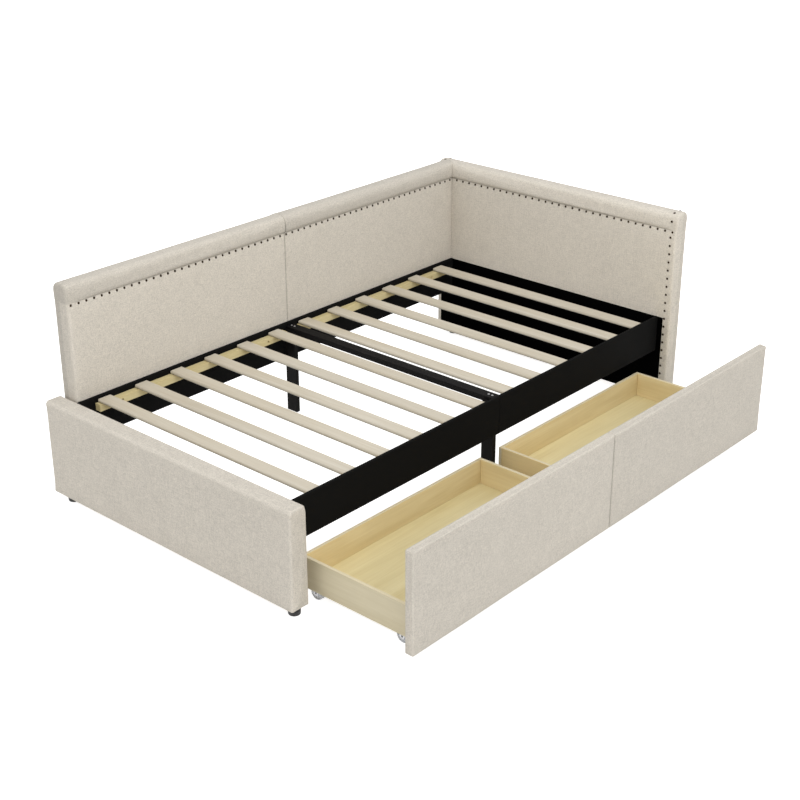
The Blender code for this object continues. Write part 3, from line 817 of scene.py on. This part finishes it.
def add_feet(finish):
    """Round feet with an eased lower rim and a shallow groove under the panel."""
    for node in sorted(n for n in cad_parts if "_foot_" in n):
        low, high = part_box(node)
        centre = (low + high) / 2
        radius = (high.x - low.x) / 2 + FOOT_SPREAD
        half = (high.z - low.z) / 2
        corners = [(0, -half), (radius * 0.93, -half), (radius, -half * 0.55), (radius, half * 0.5)]
        corners += [(radius * 0.93, half * 0.62), (radius * 0.93, half), (0, half)]
        mesh = turned_mesh(node + "_turned", [(rounded(corners, 0.0022), 0)], "Z", 40)
        place_turned(mesh, centre, "bed_frame", node, [finish])


def add_wheels(tyre, axle):
    """Clear wheels with a crowned tread, dished sides and a dark axle."""
    for node in sorted(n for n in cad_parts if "_wheel_" in n):
        low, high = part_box(node)
        centre = (low + high) / 2
        radius = (high.z - low.z) / 2
        axle_half = (high.x - low.x) / 2
        half = axle_half - 0.0023
        bore = radius * 0.14
        hub = radius * 0.42
        rim = radius * 0.80
        dish = half * 0.70
        upper = [(bore, half), (hub, half), (hub * 1.12, dish), (rim, dish), (rim * 1.04, half)]
        upper += [(radius * 0.93, half), (radius, half * 0.72), (radius, 0)]
        corners = upper + [(r, -h) for r, h in reversed(upper[:-1])] + [upper[0]]
        pin = [(0, axle_half), (bore * 0.7, axle_half), (bore * 0.98, axle_half - 0.0006)]
        pin += [(r, -h) for r, h in reversed(pin)]
        parts = [(rounded(corners, 0.0012, 3), 0), (pin, 1)]
        mesh = turned_mesh(node + "_turned", parts, "X", 40)
        place_turned(mesh, centre, node, node, [tyre, axle])


def add_bar_screws(finish):
    """Two screw heads near each end of the cross bar."""
    low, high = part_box("center_support")
    radius = BAR_SCREW_RADIUS
    spots = [low.y + inset for inset in BAR_SCREWS_NEAR] + [high.y - inset for inset in BAR_SCREWS_FAR]
    corners = [(0, -0.0004), (radius, -0.0004), (radius, 0.0008)]
    corners += [(radius * 0.45, 0.0019), (radius * 0.3, 0.0011), (0, 0.0011)]
    for number, along in enumerate(spots, 1):
        name = f"center_support_screw_{number}"
        piece = add_object(turned_mesh(name, [(rounded(corners, 0.0004, 3), 0)], "Z", 20))
        piece.location = (high.x - BAR_SCREW_INSET, along, high.z)
        piece.data.materials.append(finish)
        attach(piece, "bed_frame")


def tall_shape(fade_start, fade_end, least):
    """The roll fades towards a tall panel's start, down to the least share of how far it stands out."""

    def shape(along, across, up):
        grown = least + (1 - least) * float(ramp(along, fade_start, fade_end))
        v = across.copy()
        fold = (across < 0) & (up < ROLL_WIDEST)
        v[fold] = across[fold] * grown
        crown = (up >= ROLL_WIDEST) & (across < ROLL_MIDDLE)
        from_middle = ROLL_MIDDLE - across[crown]
        v[crown] = ROLL_MIDDLE - from_middle * (ROLL_MIDDLE + ROLL_PROUD * grown) / ROLL_WIDE
        return v, up

    return shape


def on_inner(v):
    return v < TALL_THICKNESS / 2


def crease_shade(v, w, grown):
    """How much darker the fabric is in the crease and on the roll's underside."""
    shade = CREASE_SHADE * bell(w, *CREASE_DARK) + UNDER_SHADE * bell(w, *UNDER_DARK)
    return on_inner(v) * grown * shade


def make_side_panel():
    low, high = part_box("side_panel_cover")
    bottom = low.z + PAD_LIFT
    place = local_frame((high.x - TALL_THICKNESS, low.y, 0), (0, 1, 0), (1, 0, 0))
    section = roll_section(bottom, high.z + TALL_CROWN)
    radii = (SIDE_END_RADIUS, SIDE_END_RADIUS)
    rows = (high.y - low.y, radii, SIDE_NAIL_INSET, SIDE_NAIL_PITCH / NAIL_SPLITS, (END_BULGE, END_BULGE))
    pad = Pad("side_panel_pad", "bed_frame", section, place, *rows)
    pad.sweep(tall_shape(*SIDE_FADE)).build()
    row = [SIDE_NAIL_INSET + SIDE_NAIL_PITCH * n for n in range(SIDE_NAILS)]
    levels = [COLUMN_TOP - COLUMN_PITCH * n for n in range(COLUMN_NAILS)]
    spots = [(u, 0, NAIL_LEVEL) for u in row] + [(COLUMN_INSET, 0, w) for w in levels]
    back_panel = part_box("back_panel_right_cover")[0].y + ROLL_PROUD - low.y

    def lower(v, w):
        return on_inner(v) & (w < LINING_LEVEL + HELD_ABOVE)

    def held(u, v, w):
        behind = on_inner(v) & (u > back_panel - HELD_BEHIND)
        still = lower(v, w) | behind | on_crease(v, w) | (w < bottom + HELD_EDGE)
        return still | near_spots(u, v, w, spots)

    def grooves(u, v, w):
        inside = on_inner(v) * ramp(u, *SIDE_CREASE_FADE)
        return GROOVE_DEPTH * bell(w, GROOVE_LEVEL, GROOVE_SIGMA) * inside

    def shade(u, v, w):
        lit = SIDE_LIT * on_inner(v) * (1 - u / pad.length)
        return crease_shade(v, w, ramp(u, *SIDE_SHADE_FADE)) - lit

    pad.held = held
    pad.loose = lambda u, v, w: 1.0 - lower(v, w)
    pad.grooves = grooves
    pad.shade = shade
    pad.spots = spots
    return pad


def on_crease(v, w):
    return (v <= 0.0001) & (abs(w - ROLL_CREASE) < 0.001)


def near_spots(u, v, w, spots):
    near = np.zeros(len(u), bool)
    for a, b, c in spots:
        near |= (u - a) ** 2 + (v - b) ** 2 + (w - c) ** 2 < HELD_AROUND**2
    return near


def make_back_half(side):
    low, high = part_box(f"back_panel_{side}_cover")
    left = side == "left"
    start = low.x - END_SPARE if left else low.x
    bottom = low.z + PAD_LIFT
    top = high.z + TALL_CROWN
    inner_face = high.y - TALL_THICKNESS
    side_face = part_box("side_panel_cover")[1].x - TALL_THICKNESS
    end = high.x if left else side_face - FIT_GAP
    radii = (BACK_END_RADIUS, BACK_SEAM_RADIUS) if left else (BACK_SEAM_RADIUS, BACK_CORNER_RADIUS)
    crown = (END_BULGE, 0.0) if left else (0.0, 0.0)
    footboard_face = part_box("footboard_cover")[1].x
    first = footboard_face + BACK_NAIL_START - start
    place = local_frame((start, inner_face, 0), (1, 0, 0), (0, 1, 0))
    rows = (end - start, radii, first, BACK_NAIL_PITCH / NAIL_SPLITS, crown)
    pad = Pad(f"back_panel_{side}_pad", "bed_frame", roll_section(bottom, top), place, *rows)
    pad.sweep(tall_shape(*BACK_FADE) if left else None)
    if not left:
        fit_to_side(pad, top)
    pad.build()
    numbers = range(LEFT_BACK_NAILS) if left else range(LEFT_BACK_NAILS, BACK_NAILS)
    spots = [(first + BACK_NAIL_PITCH * n, 0, NAIL_LEVEL) for n in numbers]
    rail_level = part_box("back_rail_left")[1].z
    seam_end = pad.length if left else 0

    def lower(v, w):
        return on_inner(v) & (w < rail_level + HELD_ABOVE)

    def held(u, v, w):
        seam = abs(u - seam_end) < BACK_SEAM_RADIUS * 1.05
        still = lower(v, w) | on_crease(v, w) | seam | (w < bottom + HELD_EDGE)
        if not left:
            still |= u > pad.length - HELD_END
        return still | near_spots(u, v, w, spots)

    def grooves(u, v, w):
        grown = GROOVE_LEAST + (1 - GROOVE_LEAST) * ramp(u, *BACK_FADE[:2]) if left else 1.0
        start_edge = ramp(u, *BACK_CREASE_FADE) if left else 1.0
        return GROOVE_DEPTH * bell(w, GROOVE_LEVEL, GROOVE_SIGMA) * on_inner(v) * grown * start_edge

    def shade(u, v, w):
        seam = BACK_SEAM * bell(u, seam_end, BACK_SEAM_SIGMA) * (1 - ramp(w, *SEAM_TOP))
        grown = ramp(u, *BACK_SHADE_FADE) if left else 1.0
        # Painted light on the inner face, and painted shade on the roll, the rear face and the left end
        face = BACK_FACE_SHADE[side] if left else BACK_FACE_SHADE[side] * (1 - u / pad.length)
        face = np.where(on_inner(v), face, BACK_REAR_SHADE)
        tone = np.where(w > ROLL_CREASE, BACK_ROLL_SHADE[side], face)
        if left:
            tone = tone + BACK_END * (1 - ramp(u, *BACK_END_FADE))
        return crease_shade(v, w, grown) + seam + tone

    pad.held = held
    pad.loose = lambda u, v, w: 1.0 - lower(v, w)
    pad.grooves = grooves
    pad.shade = shade
    pad.spots = spots
    return pad


def fit_to_side(pad, top):
    """Draws the right end back from the side panel's roll, and over its shoulder above the widest level."""
    u, _, w = pad.local.T
    rise = np.clip((w - ROLL_WIDEST) / (top - ROLL_WIDEST), 0, 1) ** (ROLL_POWER / 2)
    over = ROLL_MIDDLE - ROLL_WIDE * np.sqrt(np.clip(1 - rise**2, 0, 1)) ** (2 / ROLL_POWER)
    fold = np.clip((ROLL_WIDEST - w) / (ROLL_WIDEST - ROLL_CREASE), 0, 1)
    under = -ROLL_PROUD * np.sqrt(1 - fold**2)
    profile = np.where(w > ROLL_WIDEST, over, np.where(w > ROLL_CREASE, under, 0))
    reach = np.clip(profile, -ROLL_PROUD, FIT_REACH)
    near_end = ramp(u, pad.length - FIT_LENGTH, pad.length)
    pad.local[:, 0] = u + reach * near_end


def make_footboard():
    low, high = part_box("footboard_cover")
    bottom = low.z + FOOTBOARD_LIFT
    top = high.z + FOOTBOARD_CROWN
    thickness = high.x - low.x
    place = local_frame((high.x, low.y, 0), (0, 1, 0), (-1, 0, 0))
    section = square_section(thickness, bottom, top, FOOTBOARD_RADIUS)
    radii = (FOOTBOARD_END_RADIUS, FOOTBOARD_END_RADIUS)
    rows = (high.y - low.y, radii, PLAIN_ANCHOR, PLAIN_PITCH, (END_BULGE, END_BULGE))
    pad = Pad("footboard_pad", "bed_frame", section, place, *rows)
    pad.sweep().build()
    still_top = high.z - FOOTBOARD_RADIUS
    pad.held = lambda u, v, w: (v < thickness * HELD_SHARE) & (w < still_top) | (w < bottom + HELD_EDGE)
    pad.loose = lambda u, v, w: 1.0 - (v < thickness / 2)
    return pad


def make_drawer_front(side):
    node = f"drawer_{side}_front"
    low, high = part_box(node)
    bottom = low.z - FRONT_DROP
    left = side == "left"
    start, end = (low.x - END_SPARE, high.x) if left else (low.x, high.x + END_SPARE)
    thickness = high.y - low.y
    place = local_frame((start, low.y, 0), (1, 0, 0), (0, 1, 0))
    section = square_section(thickness, bottom, high.z + FRONT_CROWN, FRONT_RADIUS)
    radii = (FRONT_RADIUS, FRONT_SEAM_RADIUS) if left else (FRONT_SEAM_RADIUS, FRONT_RADIUS)
    crown = (FRONT_BULGE, 0.0) if left else (0.0, FRONT_BULGE)
    rows = (end - start, radii, PLAIN_ANCHOR, PLAIN_PITCH, crown)
    pad = Pad(f"{node}_pad", f"drawer_{side}", section, place, *rows)
    pad.sweep().build()
    seam_end = pad.length if left else 0

    def held(u, v, w):
        seam = abs(u - seam_end) < FRONT_SEAM_RADIUS
        return (v > thickness * (1 - HELD_SHARE)) | (w < bottom + HELD_EDGE) | seam

    def shade(u, v, w):
        # Painted shade on the whole front, and in the seam
        seam = FRONT_SEAM * bell(u, seam_end, FRONT_SEAM_SIGMA) * (1 - ramp(w, high.z - SEAM_FADE, high.z))
        return FRONT_FACE_SHADE[side] + seam

    pad.held = held
    pad.loose = lambda u, v, w: 1.0 - (v > thickness / 2)
    pad.shade = shade
    return pad


def make_pads(linen):
    pads = {
        "side": make_side_panel(),
        "back_left": make_back_half("left"),
        "back_right": make_back_half("right"),
        "footboard": make_footboard(),
        "front_left": make_drawer_front("left"),
        "front_right": make_drawer_front("right"),
    }
    swell(list(pads.values()))
    for pad in pads.values():
        subdivide(pad.piece)
        draw_in(pad)
    dress(pads["side"], linen, 0.8, "side_panel_cover")
    dress(pads["back_left"], linen, 0.8, "back_panel_left_cover")
    dress(pads["back_right"], linen, 0.8, "back_panel_right_cover")
    dress(pads["footboard"], linen, 0.75, "footboard_cover")
    dress(pads["front_left"], linen, 0.7, "drawer_left_front")
    dress(pads["front_right"], linen, 0.7, "drawer_right_front")
    return pads


def ray(pad, u, v, w, toward):
    """A ray from one of a pad's own places, and its direction in the row frame."""
    return tuple(pad.place @ Vector((u, v, w))), toward


def add_all_nails(pads, bronze):
    for side in ("left", "right"):
        pad = pads[f"back_{side}"]
        rays = [ray(pad, u, -RAY_AWAY, w, (0, 1, 0)) for u, _, w in pad.spots]
        add_nails(f"back_panel_{side}_nails", pad, rays, bronze)
    pad = pads["side"]
    rays = [ray(pad, u, -RAY_AWAY, w, (1, 0, 0)) for u, _, w in pad.spots]
    add_nails("side_panel_row_nails", pad, rays[:SIDE_NAILS], bronze)
    rays = rays[SIDE_NAILS:] + [ray(pad, COLUMN_INSET, -RAY_AWAY, ROLL_NAIL_LEVEL, (1, 0, 0))]
    rays += [ray(pad, COLUMN_INSET, across, RAY_TOP, (0, 0, -1)) for across in FRONT_TOP_NAILS]
    add_nails("side_panel_front_nails", pad, rays, bronze)
    along = pad.length - BACK_COLUMN_INSET
    rays = [ray(pad, along, across, RAY_TOP, (0, 0, -1)) for across in BACK_TOP_NAILS]
    add_nails("side_panel_back_nails", pad, rays, bronze)


def finish_nodes():
    """A finish for each solid that stays."""
    low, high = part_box("slat_01")
    apart = ((low.x + high.x) / 2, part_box("slat_02")[0].x - low.x)
    slat = wood_finish("Slat_wood", *SLAT, "Y", apart=apart, rim=low.z + SLAT_RIM)
    pine = wood_finish("Pine", *PINE, "X")
    board = wood_finish("Board_wood", *BOARD, "X", 0.7)
    paint = coated_finish("Black_paint", PAINT, 0.8, specular=0.06)
    steel = coated_finish("Black_steel", STEEL_PAINT, 0.6, specular=0.08)
    zinc = coated_finish("Zinc", ZINC, 0.35, metallic=1.0, grain=250.0)
    lining = coated_finish("Black_lining", LINING_TONE, 0.95, specular=0.0, grain=1500.0, relief=0.0002)
    finishes = {
        "slat_": slat,
        "ledge_": pine,
        "front_rail": paint,
        "back_rail": paint,
        "center_support": steel,
        "side_panel_lining": lining,
    }
    for name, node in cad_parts.items():
        chosen = next((finish for start, finish in finishes.items() if name.startswith(start)), None)
        if name.endswith("_board"):
            chosen = board
        elif "_caster_" in name:
            chosen = zinc
        elif "_wall_" in name or name.endswith("_bottom"):
            chosen = plywood_finish(name)
        if chosen:
            node.data.materials.clear()
            node.data.materials.append(chosen)
    return zinc


def add_camera():
    yaw, pitch, roll = CAMERA_YAW, CAMERA_PITCH, CAMERA_ROLL
    ahead = Vector((math.sin(yaw) * math.cos(pitch), math.cos(yaw) * math.cos(pitch), -math.sin(pitch)))
    right = Vector((math.cos(yaw), -math.sin(yaw), 0))
    up = right.cross(ahead)
    across = math.cos(roll) * right + math.sin(roll) * up
    above = math.cos(roll) * up - math.sin(roll) * right
    data = bpy.data.cameras.new("camera")
    data.sensor_width = SENSOR_MM
    data.lens = LENS_MM
    data.clip_end = 200.0
    made = add_object(data)
    turn = Matrix((across, above, -ahead)).transposed().to_4x4()
    made.matrix_world = Matrix.Translation(CAMERA_PLACE) @ turn
    bpy.context.scene.camera = made


def seen_directly(tree):
    """1 on camera, glossy and transmission rays, and 0 on the rays that light surfaces."""
    path = tree.nodes.new("ShaderNodeLightPath")
    total = path.outputs["Is Camera Ray"]
    for name in ("Is Glossy Ray", "Is Transmission Ray"):
        larger = tree.nodes.new("ShaderNodeMath")
        larger.operation = "MAXIMUM"
        tree.links.new(total, larger.inputs[0])
        tree.links.new(path.outputs[name], larger.inputs[1])
        total = larger.outputs[0]
    return total


def add_stage():
    """A white floor that keeps a soft shadow, and a white world."""
    scene = bpy.context.scene
    world = bpy.data.worlds.new("studio")
    world.use_nodes = True
    scene.world = world
    tree = world.node_tree
    background = tree.nodes["Background"]
    background.inputs["Color"].default_value = (1, 1, 1, 1)
    strength = tree.nodes.new("ShaderNodeMapRange")
    strength.inputs["To Min"].default_value = WORLD_LEVEL
    strength.inputs["To Max"].default_value = 1.0
    tree.links.new(seen_directly(tree), strength.inputs["Value"])
    tree.links.new(strength.outputs[0], background.inputs["Strength"])

    bpy.ops.mesh.primitive_plane_add(size=FLOOR_SIZE, location=(0, 0, -FLOOR_DROP))
    floor = bpy.context.object
    floor.name = "floor"
    material = bpy.data.materials.new("Floor_white")
    material.use_nodes = True
    tree = material.node_tree
    tree.nodes.clear()
    output = tree.nodes.new("ShaderNodeOutputMaterial")
    diffuse = tree.nodes.new("ShaderNodeBsdfDiffuse")
    diffuse.inputs["Color"].default_value = (FLOOR_TONE, FLOOR_TONE, FLOOR_TONE, 1)
    glow = tree.nodes.new("ShaderNodeEmission")
    level = tree.nodes.new("ShaderNodeMath")
    level.operation = "MULTIPLY"
    level.inputs[1].default_value = FLOOR_GLOW
    tree.links.new(seen_directly(tree), level.inputs[0])
    tree.links.new(level.outputs[0], glow.inputs["Strength"])
    both = tree.nodes.new("ShaderNodeAddShader")
    tree.links.new(diffuse.outputs[0], both.inputs[0])
    tree.links.new(glow.outputs[0], both.inputs[1])
    tree.links.new(both.outputs[0], output.inputs["Surface"])
    floor.data.materials.append(material)


def place_lamp(data, place, away):
    lamp = add_object(data)
    lamp.location = place
    lamp.rotation_euler = Vector(away).to_track_quat("Z", "Y").to_euler()
    lamp.visible_camera = False
    lamp.visible_glossy = False
    lamp.visible_transmission = False


def add_lamps():
    for name, place, strength, angle in LAMPS:
        data = bpy.data.lights.new(name, "SUN")
        data.energy = strength
        data.angle = math.radians(angle)
        place_lamp(data, Vector(place) * 5, place)
    data = bpy.data.lights.new("fill_lamp", "AREA")
    data.shape = "SQUARE"
    data.size = FILL_SIZE
    data.energy = FILL_POWER
    place_lamp(data, FILL_PLACE, Vector(FILL_PLACE) - Vector(FILL_AIM))


add_camera()
add_stage()
add_lamps()
linen = linen_finish()
bronze = coated_finish("Bronze_nails", BRONZE, 0.38, metallic=0.85, grain=900.0)
foot_plastic = coated_finish("Foot_plastic", FOOT_TONE, 0.4)
axle_steel = coated_finish("Dark_axle", AXLE_TONE, 0.4, metallic=0.6)
zinc = finish_nodes()
pads = make_pads(linen)
add_all_nails(pads, bronze)
add_feet(foot_plastic)
add_wheels(clear_wheel_finish(), axle_steel)
add_bar_screws(zinc)

bpy.context.scene.view_settings.view_transform = "Standard"
bpy.context.view_layer.update()
